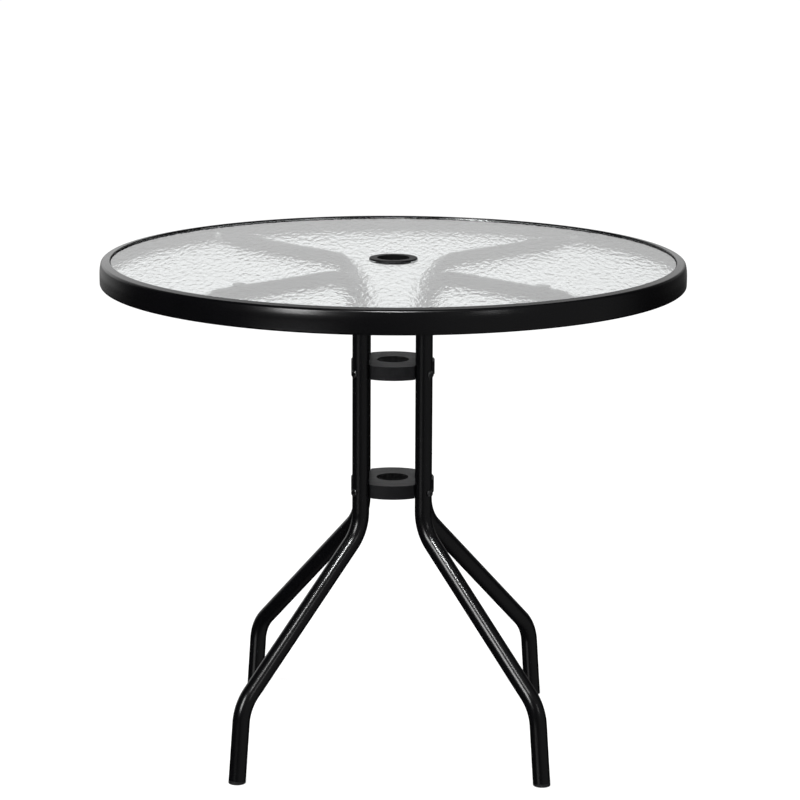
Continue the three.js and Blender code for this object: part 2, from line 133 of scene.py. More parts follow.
powderCoat = {
    "dark": (0.0010, 0.0010, 0.0013), "light": (0.0018, 0.0018, 0.0023), "patches": (14, 3),
    "peel": (650, 2), "grain": (2600, 1), "grainHigh": 0.35, "relief": 0.000035,
    "roughness": 0.155, "patchRough": 0.05, "grainRough": 0.08,
}


def powderCoatDetail(shading):
    patches = shading.cloud(*powderCoat["patches"])
    peel = shading.cloud(*powderCoat["peel"])
    grain = shading.cloud(*powderCoat["grain"])
    rough = patches * powderCoat["patchRough"] + grain * powderCoat["grainRough"]
    return {
        "Base Color": shading.blend(patches, powderCoat["dark"], powderCoat["light"]),
        "Roughness": powderCoat["roughness"] + rough,
        "Normal": shading.bump(peel + grain * powderCoat["grainHigh"], powderCoat["relief"]),
    }


texturedGlass = {
    "ripple": (190, 2, (1, 0.35, 0.01)), "rippleHigh": 0.2, "waves": (170, 2, (1, 0.25, 0.01)),
    "plainFrom": (0.6769, 0.6773), "relief": 0.0004,
    "tint": (9, 2), "dark": (0.79, 0.824, 0.825), "light": (0.815, 0.842, 0.84),
}


def glassDetail(shading):
    ripple = shading.cloud(*texturedGlass["ripple"])
    waves = shading.cloud(*texturedGlass["waves"])        # the fire-polished top waves a little too
    above = shading.between(shading.height(), *texturedGlass["plainFrom"])        # 0 on the underside
    wavy = ripple * (1 - above) * texturedGlass["rippleHigh"] + waves * above
    tint = shading.cloud(*texturedGlass["tint"])
    return {
        "Normal": shading.bump(wavy, texturedGlass["relief"]),
        "Base Color": shading.blend(tint, texturedGlass["dark"], texturedGlass["light"]),
    }


# the bore's colour below is painted shade: darker to stand in for the shade inside the hole
collarPlastic = {
    "flow": (38, 4, (1, 2.2, 1)), "grain": (1500, 2), "relief": 0.00005, "roughness": 0.42,
    "flowRough": 0.18, "dark": (0.0014, 0.0014, 0.0020), "light": (0.0030, 0.0030, 0.0040),
    "boreMattAndShadeFrom": (0.0220, 0.0224), "boreRough": 0.4, "borePaintedShade": (0.0003, 0.0003, 0.0004),
}


def collarPlasticDetail(shading):
    flow = shading.cloud(*collarPlastic["flow"])
    grain = shading.cloud(*collarPlastic["grain"])
    level = shading.node("VectorMath", {"operation": "MULTIPLY"}, {0: shading.places(), 1: (1, 1, 0)})
    away = shading.node("VectorMath", {"operation": "LENGTH"}, {0: level}, output=1)
    bore = 1 - shading.between(away, *collarPlastic["boreMattAndShadeFrom"])        # the mould's pin leaves it matt; its colour is also darkened there, as painted shade in the hole
    colour = shading.blend(flow, collarPlastic["dark"], collarPlastic["light"])
    rough = flow * collarPlastic["flowRough"] + bore * collarPlastic["boreRough"]
    return {
        # painted shade: inside the bore the colour is darkened to stand in for the shade in the hole
        "Base Color": shading.blend(bore, colour, collarPlastic["borePaintedShade"]),
        "Roughness": collarPlastic["roughness"] + rough,
        "Normal": shading.bump(grain, collarPlastic["relief"]),
    }


plugPlastic = {
    "scuffs": (240, 5), "soleHigh": 0.0022, "scuffedFrom": (0.45, 0.65), "relief": 0.00008,
    "clean": (0.006, 0.006, 0.007), "worn": (0.035, 0.034, 0.033), "roughness": 0.38, "scuffRough": 0.2,
}


def plugPlasticDetail(shading):
    scuffs = shading.cloud(*plugPlastic["scuffs"])
    sole = 1 - shading.between(shading.height(), 0.0, plugPlastic["soleHigh"])
    worn = sole * shading.between(scuffs, *plugPlastic["scuffedFrom"])
    return {
        "Base Color": shading.blend(worn, plugPlastic["clean"], plugPlastic["worn"]),
        "Roughness": plugPlastic["roughness"] + scuffs * plugPlastic["scuffRough"],
        "Normal": shading.bump(scuffs, plugPlastic["relief"]),
    }


padRubber = {
    "dust": (420, 4), "clean": (0.010, 0.010, 0.010), "dusty": (0.030, 0.029, 0.028),
    "roughness": 0.7, "dustRough": 0.2, "relief": 0.00006,
}


def padRubberDetail(shading):
    dust = shading.cloud(*padRubber["dust"])
    return {
        "Base Color": shading.blend(dust, padRubber["clean"], padRubber["dusty"]),
        "Roughness": padRubber["roughness"] + dust * padRubber["dustRough"],
        "Normal": shading.bump(dust, padRubber["relief"]),
    }


zinc = {
    "bloom": (300, 4), "dark": (0.42, 0.42, 0.41), "light": (0.66, 0.66, 0.64),
    "roughness": 0.28, "bloomRough": 0.25, "relief": 0.00003,
}


def zincDetail(shading):
    bloom = shading.cloud(*zinc["bloom"])
    return {
        "Base Color": shading.blend(bloom, zinc["dark"], zinc["light"]),
        "Roughness": zinc["roughness"] + bloom * zinc["bloomRough"],
        "Normal": shading.bump(bloom, zinc["relief"]),
    }


blackScrew = {
    "rub": (900, 4), "rubbedFrom": (0.48, 0.68), "dark": (0.028, 0.028, 0.03), "bright": (0.24, 0.24, 0.24),
    "roughness": 0.12, "rubRough": 0.12, "relief": 0.00003,
}


def blackScrewDetail(shading):
    rub = shading.cloud(*blackScrew["rub"])
    rubbed = shading.between(rub, *blackScrew["rubbedFrom"])
    return {
        "Base Color": shading.blend(rubbed, blackScrew["dark"], blackScrew["bright"]),
        "Roughness": blackScrew["roughness"] + rub * blackScrew["rubRough"],
        "Normal": shading.bump(rub, blackScrew["relief"]),
    }


finishes = {
    "powder_coated_steel": newFinish("powderCoat", {"Specular IOR Level": 0.5}, powderCoatDetail),
    "textured_glass": newFinish(
        "texturedGlass", {"Transmission Weight": 1.0, "IOR": 1.5, "Roughness": 0.02}, glassDetail
    ),
    "collar_plastic": newFinish("collarPlastic", {"Specular IOR Level": 0.29}, collarPlasticDetail),
    "plug_plastic": newFinish("plugPlastic", {}, plugPlasticDetail),
    "pad_rubber": newFinish("padRubber", {"Specular IOR Level": 0.3}, padRubberDetail),
    "zinc_steel": newFinish("zincSteel", {"Metallic": 1.0}, zincDetail),
    "black_screw_steel": newFinish("blackScrewSteel", {"Metallic": 0.9}, blackScrewDetail),
}
print("finishes ready")


# Mesh helpers

mergeDistance = 0.000002
nearly = 0.00001        # what counts as the same place after a cut or a turn


def closedLine(bm, points):
    verts = [bm.verts.new((radius, 0, height)) for radius, height in points]
    for first, second in zip(verts, verts[1:] + verts[:1]):
        bm.edges.new((first, second))
    return verts


def openLine(bm, points):
    verts = [bm.verts.new((radius, 0, height)) for radius, height in points]
    for first, second in zip(verts, verts[1:]):
        bm.edges.new((first, second))
    return verts


def roundCorners(bm, verts, radius, segments):
    bmesh.ops.bevel(
        bm, geom=verts, offset=radius, offset_type="OFFSET", segments=segments,
        profile=0.5, affect="VERTICES", material=-1,
    )


def roundEdges(bm, edges, width, segments):
    bmesh.ops.bevel(
        bm, geom=edges, offset=width, offset_type="OFFSET", segments=segments,
        profile=0.5, affect="EDGES", material=-1, clamp_overlap=True,
    )


def turnRound(bm, steps):
    bmesh.ops.spin(
        bm, geom=bm.verts[:] + bm.edges[:], cent=(0, 0, 0), axis=(0, 0, 1), dvec=(0, 0, 0),
        angle=2 * math.pi, steps=steps, use_merge=True, use_duplicate=False,
    )
    bmesh.ops.remove_doubles(bm, verts=bm.verts[:], dist=mergeDistance)


def pushEdges(bm, edges, move):
    grown = bmesh.ops.extrude_edge_only(bm, edges=edges)["geom"]
    verts = [item for item in grown if isinstance(item, bmesh.types.BMVert)]
    bmesh.ops.translate(bm, verts=verts, vec=move)
    return [item for item in grown if isinstance(item, bmesh.types.BMEdge)], verts


def meshOf(bm, name, sharp=32):
    bmesh.ops.remove_doubles(bm, verts=bm.verts[:], dist=mergeDistance)
    bmesh.ops.recalc_face_normals(bm, faces=bm.faces[:])
    for face in bm.faces:
        face.smooth = True
    for edge in bm.edges:
        if len(edge.link_faces) == 2:
            edge.smooth = edge.calc_face_angle() < math.radians(sharp)
    mesh = bpy.data.meshes.new(name)
    bm.to_mesh(mesh)
    bm.free()
    return mesh


def cutAway(bm, cutter):
    # what is left of one closed mesh once another is taken out of it
    target = bpy.data.objects.new("target", meshOf(bm, "target"))
    tool = bpy.data.objects.new("tool", meshOf(cutter, "tool"))
    scene.collection.objects.link(target)
    scene.collection.objects.link(tool)
    cut = target.modifiers.new("cut", "BOOLEAN")
    cut.operation = "DIFFERENCE"
    cut.solver = "EXACT"
    cut.use_self = True
    cut.object = tool
    left = bmesh.new()
    left.from_object(target, bpy.context.evaluated_depsgraph_get())
    bpy.data.objects.remove(target)
    bpy.data.objects.remove(tool)
    bmesh.ops.remove_doubles(left, verts=left.verts[:], dist=nearly)
    return left


def makePiece(name, mesh, slotName, node, weighted=True):
    piece = bpy.data.objects.new(name, mesh)
    scene.collection.objects.link(piece)
    mesh.materials.append(finishes[slotName])
    if weighted:
        even = piece.modifiers.new("evenShading", "WEIGHTED_NORMAL")
        even.keep_sharp = True
    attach(piece, "root")
    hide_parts(node)
    return piece


def camelCase(node):
    first, *rest = node.split("_")
    return first + "".join(word.capitalize() for word in rest)


def makeAtLegs(kind, mesh, slotName, weighted=True):
    # one piece for each leg, from a mesh made on the X axis
    for place, degrees in legAngles.items():
        turned = mesh.copy()
        turned.transform(Matrix.Rotation(math.radians(degrees), 4, "Z"))
        makePiece(camelCase(f"{kind}_{place}"), turned, slotName, f"{kind}_{place}", weighted)


# Rim: a rounded rectangular tube bent into a ring

rim = {
    "outer": 0.400, "inner": 0.386, "bottom": 0.6506, "top": 0.684, "fall": 0.0020, "wall": 0.0015,
    "corner": 0.003, "cornerSteps": 8, "shoulder": 0.0030, "shoulderSteps": 12,
    "innerEdge": 0.0004, "innerEdgeSteps": 4, "belly": 0.666, "bulgeAbove": 8.0, "bulgeBelow": 0.4,
    "sideEnds": 0.0066, "sideSteps": 8, "drains": 4, "drainRadius": 0.0025, "drainSteps": 32, "steps": 288,
}


def makeRim():
    bm = bmesh.new()
    inner, outer, bottom, top = rim["inner"], rim["outer"], rim["bottom"], rim["top"]
    low, high, steps = bottom + rim["sideEnds"], top - rim["fall"] - rim["sideEnds"], rim["sideSteps"]
    heights = [low + (high - low) * step / steps for step in range(steps + 1)]
    side = []        # the outer wall bulges a little, as a bent tube's does
    for height in (bottom, *heights, top - rim["fall"]):
        bulge = rim["bulgeAbove"] if height > rim["belly"] else rim["bulgeBelow"]
        side.append((outer - bulge * (height - rim["belly"]) ** 2, height))
    skin = closedLine(bm, [(inner, bottom), *side, (inner, top)])
    roundCorners(bm, skin[:2], rim["corner"], rim["cornerSteps"])
    roundCorners(bm, [skin[-2]], rim["shoulder"], rim["shoulderSteps"])
    roundCorners(bm, [skin[-1]], rim["innerEdge"], rim["innerEdgeSteps"])
    turnRound(bm, rim["steps"])
    wall = rim["wall"]
    hollow = bmesh.new()
    sides = [
        (inner + wall, bottom + wall), (outer - wall, bottom + wall),
        (outer - 3 * wall, top - rim["fall"] - 2 * wall), (inner + wall, top - 2 * wall),
    ]
    closedLine(hollow, sides)
    turnRound(hollow, rim["steps"])
    middle = Matrix.Translation(((inner + outer) / 2, 0, bottom))
    for drain in range(rim["drains"]):
        facing = Matrix.Rotation(2 * math.pi * drain / rim["drains"], 4, "Z")
        bmesh.ops.create_cone(
            hollow, cap_ends=True, segments=rim["drainSteps"], radius1=rim["drainRadius"],
            radius2=rim["drainRadius"], depth=4 * wall, matrix=facing @ middle,
        )
    bm = cutAway(bm, hollow)
    makePiece("rimRing", meshOf(bm, "rimRing"), "powder_coated_steel", "rim_ring")


makeRim()

# Ledge: a square wire inside the rim, on which the glass lies

ledge = {
    "inner": 0.3835, "outer": 0.3857, "bottom": 0.6737, "top": 0.6762, "corner": 0.0004, "cornerSteps": 2,
}


def makeLedge():
    bm = bmesh.new()
    corners = closedLine(bm, [
        (ledge["inner"], ledge["bottom"]), (ledge["outer"], ledge["bottom"]),
        (ledge["outer"], ledge["top"]), (ledge["inner"], ledge["top"]),
    ])
    roundCorners(bm, corners, ledge["corner"], ledge["cornerSteps"])
    turnRound(bm, rim["steps"])
    makePiece("glassLedgeRing", meshOf(bm, "glassLedgeRing"), "powder_coated_steel", "glass_ledge_ring")


makeLedge()
print("rim and ledge made")

# Glass: flat and smooth above, pebbled below

glass = {
    "radius": 0.3854, "hole": 0.02445, "bottom": 0.6765, "top": 0.6815, "chamfer": 0.0008,
    "meshStep": (0.0018, 0.0032), "pebble": (0.0095, 0.0290), "relief": 0.00006,
    "warp": 0.5, "warpScale": 0.7, "creaseWide": 0.45, "domeWide": 0.9, "domeShare": 0.55,
    "plainEdge": 0.0015, "plainHole": 0.009,
}


def pebbleRise(spot):
    # how far the underside lies above its lowest points: domes with creases between them
    place = Vector((spot.x / glass["pebble"][0], spot.y / glass["pebble"][1], 0.0))
    place += glass["warp"] * noise.noise_vector(place * glass["warpScale"])
    distances, _ = noise.voronoi(place)
    crease = min(1.0, (distances[1] - distances[0]) / glass["creaseWide"])
    dome = min(1.0, distances[0] / glass["domeWide"])
    return glass["domeShare"] * dome ** 2 + (1 - glass["domeShare"]) * (1 - crease) ** 2


def makeGlass():
    bm = bmesh.new()
    outer, hole = glass["radius"] - glass["chamfer"], glass["hole"]
    across, deep = (round(2 * outer / step) for step in glass["meshStep"])
    bmesh.ops.create_grid(
        bm, x_segments=across, y_segments=deep, size=outer + max(glass["meshStep"]),
        matrix=Matrix.Translation((0, 0, glass["bottom"])),
    )
    middle = Vector((0, 0, glass["bottom"]))
    spare = [f for f in bm.faces if not hole < (f.calc_center_median() - middle).length < outer]
    bmesh.ops.delete(bm, geom=spare, context="FACES")
    border = [edge for edge in bm.edges if edge.is_boundary]
    rims = {"out": [], "in": []}
    for edge in border:
        side = "out" if (edge.verts[0].co - middle).length > 2 * hole else "in"
        rims[side].append(edge)
    for side, radius in (("out", outer), ("in", hole)):
        for vert in {vert for edge in rims[side] for vert in edge.verts}:
            away = (vert.co - middle).normalized()
            vert.co = middle + away * radius
    for vert in bm.verts:
        away = (vert.co - middle).length
        inside = min(outer - away, away - hole - glass["plainHole"])
        fade = min(1.0, max(0.0, inside / glass["plainEdge"]))
        vert.co.z += glass["relief"] * fade * pebbleRise(vert.co)
    chamfer = glass["chamfer"]
    heights = [
        (outer + chamfer, glass["bottom"] + chamfer), (outer + chamfer, glass["top"] - chamfer),
        (outer, glass["top"]),
    ]
    ring = rims["out"]
    for radius, height in heights:
        ring, verts = pushEdges(bm, ring, (0, 0, 0))
        for vert in verts:
            away = Vector((vert.co.x, vert.co.y, 0)).normalized()
            vert.co = away * radius + Vector((0, 0, height))
    well, _ = pushEdges(bm, rims["in"], (0, 0, glass["top"] - glass["bottom"]))
    bmesh.ops.bridge_loops(bm, edges=ring + well)
    mesh = meshOf(bm, "glassTop", sharp=30)
    pane = makePiece("glassTop", mesh, "textured_glass", "glass_top", weighted=False)
    pane.visible_shadow = False
    pane.visible_diffuse = False


makeGlass()
print("glass made")

# Grommet in the glass

grommet = {
    "bore": 0.02175, "barrel": 0.02415, "flange": 0.03315, "seat": 0.6818, "top": 0.6840,
    "lip": 0.02555, "lipTop": 0.6762, "lipBottom": 0.6732, "edge": 0.0012, "edgeSteps": 5, "steps": 96,
}


def makeGrommet():
    bm = bmesh.new()
    closedLine(bm, [
        (grommet["bore"], grommet["lipBottom"]), (grommet["barrel"], grommet["lipBottom"]),
        (grommet["lip"], grommet["lipTop"]), (grommet["barrel"], grommet["lipTop"]),
        (grommet["barrel"], grommet["seat"]), (grommet["flange"], grommet["seat"]),
    ])
    bm.verts.ensure_lookup_table()
    first, last = bm.verts[0], bm.verts[-1]
    bm.edges.remove(bm.edges.get((first, last)))
    over = bm.verts.new((grommet["flange"], 0, grommet["top"]))
    inside = bm.verts.new((grommet["bore"], 0, grommet["top"]))
    for pair in ((last, over), (over, inside), (inside, first)):
        bm.edges.new(pair)
    roundCorners(bm, [over, inside], grommet["edge"], grommet["edgeSteps"])
    turnRound(bm, grommet["steps"])
    makePiece("poleHoleRing", meshOf(bm, "poleHoleRing"), "collar_plastic", "pole_hole_ring")


makeGrommet()

# Collars: moulded discs with a notch for each tube, open below

collar = {
    "radius": 0.0575, "thickness": 0.019, "edge": 0.00045, "bore": 0.02175, "plate": 0.003, "wall": 0.003,
    "notch": 0.01205, "orbit": 0.0608, "fillet": 0.005, "boss": 0.011, "rib": 0.0024, "ribStart": 0.010,
    "upperTop": 0.5422, "lowerTop": 0.3760, "arcSteps": 26, "filletSteps": 12, "notchSteps": 24,
    "steps": 96, "wallSteps": 64, "edgeSteps": 3, "edgeAngle": 60,
}


def swingVert(bm, vert, centre, angle, steps):
    made = bmesh.ops.spin(
        bm, geom=[vert], cent=centre, axis=(0, 0, 1), dvec=(0, 0, 0),
        angle=angle, steps=steps, use_merge=False, use_duplicate=False,
    )
    return next(item for item in made["geom_last"] if isinstance(item, bmesh.types.BMVert))


def onCircle(radius, angle):
    return Vector((radius * math.cos(angle), radius * math.sin(angle), 0))


def makeCollarMesh():
    bm = bmesh.new()
    radius, orbit, notch, fillet = collar["radius"], collar["orbit"], collar["notch"], collar["fillet"]
    ring = radius - fillet
    reach = notch + fillet
    shift = math.acos((ring ** 2 + orbit ** 2 - reach ** 2) / (2 * ring * orbit))
    mouth = math.atan2(ring * math.sin(shift), orbit - ring * math.cos(shift))
    quarter = math.pi / 2
    vert = bm.verts.new(onCircle(radius, shift - quarter / 2))
    for leg in range(4):
        toNotch = (leg + 0.5) * quarter
        vert = swingVert(bm, vert, (0, 0, 0), quarter - 2 * shift, collar["arcSteps"])
        vert = swingVert(bm, vert, onCircle(ring, toNotch - shift), shift + mouth, collar["filletSteps"])
        vert = swingVert(bm, vert, onCircle(orbit, toNotch), -2 * mouth, collar["notchSteps"])
        vert = swingVert(bm, vert, onCircle(ring, toNotch + shift), shift + mouth, collar["filletSteps"])
    bmesh.ops.remove_doubles(bm, verts=bm.verts[:], dist=nearly)
    bmesh.ops.create_circle(bm, segments=collar["steps"], radius=collar["bore"])
    bmesh.ops.triangle_fill(bm, use_beauty=True, use_dissolve=False, edges=bm.edges[:])
    grown = bmesh.ops.extrude_face_region(bm, geom=bm.faces[:])["geom"]
    low = [item for item in grown if isinstance(item, bmesh.types.BMVert)]
    bmesh.ops.translate(bm, verts=low, vec=(0, 0, -collar["thickness"]))

    pocket = bmesh.new()        # the mould's pockets between the walls, bosses and ribs
    inner, outer = collar["bore"] + collar["wall"], radius - collar["wall"]
    floor, ceiling = -2 * collar["thickness"], -collar["plate"]
    closedLine(pocket, [(inner, floor), (outer, floor), (outer, ceiling), (inner, ceiling)])
    turnRound(pocket, collar["steps"])
    walls = bmesh.new()
    tall = -2 * floor
    long = orbit - collar["bore"]
    bossShape = Matrix.Diagonal((long, collar["boss"], tall, 1))
    boss = Matrix.Translation((collar["bore"] + long / 2, 0, 0)) @ bossShape
    ribShape = Matrix.Diagonal((radius, collar["rib"], tall, 1))
    rib = Matrix.Translation((collar["ribStart"] + radius / 2, 0, 0)) @ ribShape
    for leg in range(4):
        facing = Matrix.Rotation((leg + 0.5) * quarter, 4, "Z")
        between = Matrix.Rotation(leg * quarter, 4, "Z")
        bmesh.ops.create_cone(
            walls, cap_ends=True, segments=collar["wallSteps"], radius1=notch + collar["wall"],
            radius2=notch + collar["wall"], depth=tall, matrix=facing @ Matrix.Translation((orbit, 0, 0)),
        )
        bmesh.ops.create_cube(walls, size=1, matrix=facing @ boss)
        bmesh.ops.create_cube(walls, size=1, matrix=between @ rib)
    pocket = cutAway(pocket, walls)
    bm = cutAway(bm, pocket)
    top, bottom = -nearly, -collar["thickness"] + nearly
    rims = [
        edge for edge in bm.edges
        if len(edge.link_faces) == 2 and edge.calc_face_angle() > math.radians(collar["edgeAngle"])
        and (all(v.co.z > top for v in edge.verts) or all(v.co.z < bottom for v in edge.verts))
    ]
    roundEdges(bm, rims, collar["edge"], collar["edgeSteps"])
    return meshOf(bm, "collar")


collarMesh = makeCollarMesh()
for name in ("upper", "lower"):
    moved = collarMesh.copy()
    moved.transform(Matrix.Translation((0, 0, collar[name + "Top"])))
    makePiece(name + "Collar", moved, "collar_plastic", name + "_collar")
print("collars made")

# Legs: one bent tube each, pressed flat where it bolts to its bracket

tube = {
    "radius": 0.01175, "wall": 0.0012, "sides": 56, "bend": 0.060, "bendStep": 4.0,
    "foot": (0.290, 0.0), "ankle": (0.280, 0.105), "splay": (collar["orbit"], 0.3115),
    "shoulder": (collar["orbit"], 0.66215), "tip": (0.3815, 0.66215),
    "sole": 0.004, "lining": 0.030, "taperStart": 0.3115, "taperLong": 0.030, "taperRings": 20,
    "pressedThick": 0.004, "pressedSlit": 0.0008, "flatness": 1.6,
}


def inPlane(name):
    return Vector((tube[name][0], 0, tube[name][1]))


def lineEnd(bm, ring, inward):
    # the wall's end face, the bore behind it and a floor that closes the bore
    radius, wall = tube["radius"], tube["wall"]
    verts = {vert for edge in ring for vert in edge.verts}
    middle = sum((vert.co for vert in verts), Vector()) / len(verts)
    inner, verts = pushEdges(bm, ring, (0, 0, 0))
    for vert in verts:
        vert.co = middle + (vert.co - middle) * ((radius - wall) / radius)
    floor, _ = pushEdges(bm, inner, inward * tube["lining"])
    bmesh.ops.contextual_create(bm, geom=floor)


def smoothStep(value):
    value = min(1.0, max(0.0, value))
    return value * value * (3 - 2 * value)


def pressArm(bm):
    # the girth stays as it was, so the tube gets wider as it gets flat
    radius, bore = tube["radius"], tube["radius"] - tube["wall"]
    height = tube["tip"][1]
    wide = math.pi * radius / 2
    for vert in bm.verts:
        rise = vert.co.z - height
        if vert.co.x < tube["taperStart"] or abs(rise) > 2 * radius:
            continue
        pressed = smoothStep((vert.co.x - tube["taperStart"]) / tube["taperLong"])
        skin = math.hypot(vert.co.y, rise) > (radius + bore) / 2
        full = radius if skin else bore
        half = tube["pressedThick"] / 2 if skin else tube["pressedSlit"] / 2
        side = wide if skin else wide - tube["wall"]
        flat = math.copysign(half * min(1.0, abs(rise) / full * tube["flatness"]), rise)
        vert.co.y += pressed * (vert.co.y / full * side - vert.co.y)
        vert.co.z = height + rise + pressed * (flat - rise)


def makeLegMesh():
    bm = bmesh.new()
    corners = [inPlane(name) for name in ("foot", "ankle", "splay", "shoulder", "tip")]
    along = (corners[1] - corners[0]).normalized()
    here = corners[0] + along * tube["sole"]
    tilt = math.atan2(along.x, along.z)
    bmesh.ops.create_circle(
        bm, segments=tube["sides"], radius=tube["radius"],
        matrix=Matrix.Translation(here) @ Matrix.Rotation(tilt, 4, "Y"),
    )
    ring = bm.edges[:]
    lineEnd(bm, ring, along)
    for before, corner, after in zip(corners, corners[1:], corners[2:]):
        into, out = (corner - before).normalized(), (after - corner).normalized()
        turn = into.angle(out)
        axis = into.cross(out).normalized()
        start = corner - into * tube["bend"] * math.tan(turn / 2)
        ring, _ = pushEdges(bm, ring, start - here)
        centre = start + axis.cross(into) * tube["bend"]
        made = bmesh.ops.spin(
            bm, geom=ring, cent=centre, axis=axis, dvec=(0, 0, 0), angle=turn,
            steps=math.ceil(math.degrees(turn) / tube["bendStep"]), use_merge=False, use_duplicate=False,
        )
        ring = [item for item in made["geom_last"] if isinstance(item, bmesh.types.BMEdge)]
        here = corner + out * tube["bend"] * math.tan(turn / 2)
    ring, _ = pushEdges(bm, ring, Vector((tube["taperStart"], 0, here.z)) - here)
    for _ in range(tube["taperRings"]):
        ring, _ = pushEdges(bm, ring, (tube["taperLong"] / tube["taperRings"], 0, 0))
    ring, _ = pushEdges(bm, ring, (tube["tip"][0] - tube["taperStart"] - tube["taperLong"], 0, 0))
    lineEnd(bm, ring, Vector((-1, 0, 0)))
    pressArm(bm)
    return meshOf(bm, "legTube", sharp=45)


makeAtLegs("leg_tube", makeLegMesh(), "powder_coated_steel", weighted=False)
print("legs made")

# Foot plugs

plug = {
    "radius": tube["radius"], "shoulder": 0.0037, "stem": 0.00945, "stemTop": 0.020, "chamfer": 0.001,
    "edge": 0.0009, "edgeSteps": 4,
}


def makePlugMesh():
    bm = bmesh.new()
    radius, stem = plug["radius"], plug["stem"]
    openLine(bm, [
        (0, -radius), (radius, -radius), (radius, plug["shoulder"]), (stem, plug["shoulder"]),
        (stem, plug["stemTop"] - plug["chamfer"]), (stem - plug["chamfer"], plug["stemTop"]),
        (0, plug["stemTop"]),
    ])
    turnRound(bm, tube["sides"])
    foot, ankle = inPlane("foot"), inPlane("ankle")
    tilt = math.atan2(ankle.x - foot.x, ankle.z - foot.z)
    bmesh.ops.transform(
        bm, matrix=Matrix.Translation(foot) @ Matrix.Rotation(tilt, 4, "Y"), verts=bm.verts[:]
    )
    cut = bmesh.ops.bisect_plane(
        bm, geom=bm.verts[:] + bm.edges[:] + bm.faces[:], plane_co=(0, 0, 0), plane_no=(0, 0, 1),
        clear_inner=True, dist=mergeDistance,
    )["geom_cut"]
    sole = [item for item in cut if isinstance(item, bmesh.types.BMEdge)]
    bmesh.ops.contextual_create(bm, geom=sole)
    roundEdges(bm, sole, plug["edge"], plug["edgeSteps"])
    return meshOf(bm, "footPlug")


makeAtLegs("foot_plug", makePlugMesh(), "plug_plastic")

# Pads under the glass

pad = {
    "place": 0.280, "radius": 0.009, "seat": 0.6742, "top": 0.6762, "edge": 0.0006, "edgeSteps": 4,
    "stem": 0.0022, "stemLong": 0.006, "steps": 48,
}


def makePadMesh():
    bm = bmesh.new()
    verts = openLine(bm, [
        (0, pad["seat"] - pad["stemLong"]), (pad["stem"], pad["seat"] - pad["stemLong"]),
        (pad["stem"], pad["seat"]), (pad["radius"], pad["seat"]),
        (pad["radius"], pad["top"]), (0, pad["top"]),
    ])
    roundCorners(bm, [verts[1], verts[4]], pad["edge"], pad["edgeSteps"])
    turnRound(bm, pad["steps"])
    bmesh.ops.translate(bm, verts=bm.verts[:], vec=(pad["place"], 0, 0))
    return meshOf(bm, "glassPad")


makeAtLegs("glass_pad", makePadMesh(), "pad_rubber")

# Brackets: a steel angle welded to the rim

bracket = {
    "low": 0.66445, "thick": 0.0025, "high": 0.6734, "wide": 0.030, "back": 0.38502, "reach": 0.036,
    "bend": 0.0016, "bendSteps": 5, "corner": 0.004, "cornerSteps": 6,
    "hole": 0.0034, "holeSteps": 40, "holeAt": 0.36404,
}


def makeBracketMesh():
    bm = bmesh.new()
    back, thick, low = bracket["back"], bracket["thick"], bracket["low"]
    front = back - bracket["reach"]
    verts = closedLine(bm, [
        (front, low), (back, low), (back, bracket["high"]), (back - thick, bracket["high"]),
        (back - thick, low + thick), (front, low + thick),
    ])
    roundCorners(bm, [verts[1]], bracket["bend"], bracket["bendSteps"])
    face = bmesh.ops.contextual_create(bm, geom=bm.edges[:])["faces"]
    bmesh.ops.translate(bm, verts=bm.verts[:], vec=(0, -bracket["wide"] / 2, 0))
    grown = bmesh.ops.extrude_face_region(bm, geom=face)["geom"]
    far = [item for item in grown if isinstance(item, bmesh.types.BMVert)]
    bmesh.ops.translate(bm, verts=far, vec=(0, bracket["wide"], 0))
    bmesh.ops.recalc_face_normals(bm, faces=bm.faces[:])
    ends = [
        edge for edge in bm.edges
        if all(abs(v.co.x - front) < nearly for v in edge.verts)
        and abs(edge.verts[0].co.z - edge.verts[1].co.z) > thick / 2
    ]
    roundEdges(bm, ends, bracket["corner"], bracket["cornerSteps"])
    drill = bmesh.new()
    bmesh.ops.create_cone(
        drill, cap_ends=True, segments=bracket["holeSteps"], radius1=bracket["hole"],
        radius2=bracket["hole"], depth=8 * thick, matrix=Matrix.Translation((bracket["holeAt"], 0, low)),
    )
    return meshOf(cutAway(bm, drill), "rimBracket")


makeAtLegs("rim_bracket", makeBracketMesh(), "powder_coated_steel")

# Bolts, washers and nuts at the arms' ends

fastener = {
    "at": bracket["holeAt"], "flatRadius": 0.00501, "bevelWide": 0.0007, "bevelDeep": 0.00035,
    "headLow": 0.65435, "headHigh": 0.65835, "shank": 0.003, "shankEdge": 0.0005, "shankInHead": 0.002,
    "shankSteps": 32, "end": 0.67325, "nutLow": 0.66725, "nutHigh": 0.67225, "bore": 0.0033,
    "washerLow": 0.65865, "washerHigh": 0.65985, "washer": 0.0063, "washerBore": 0.0034,
    "washerEdge": 0.0002, "washerSteps": 48, "edgeSteps": 2,
}


def hexBlock(bm, low, high, bevelTop, bevelBottom):
    corner = fastener["flatRadius"] / math.cos(math.pi / 6)
    bmesh.ops.create_cone(
        bm, cap_ends=True, segments=6, radius1=corner, radius2=corner, depth=high - low,
        matrix=Matrix.Translation((0, 0, (low + high) / 2)),
    )
    for face in [f for f in bm.faces if abs(f.normal.z) > 0.9]:
        if (face.normal.z > 0 and bevelTop) or (face.normal.z < 0 and bevelBottom):
            bmesh.ops.inset_region(bm, faces=[face], thickness=fastener["bevelWide"], depth=0)
            sink = -math.copysign(fastener["bevelDeep"], face.normal.z)
            near = {v for e in face.edges for f in e.link_faces for v in f.verts}
            around = [v for v in near if v not in face.verts[:]]
            bmesh.ops.translate(bm, verts=around, vec=(0, 0, sink))


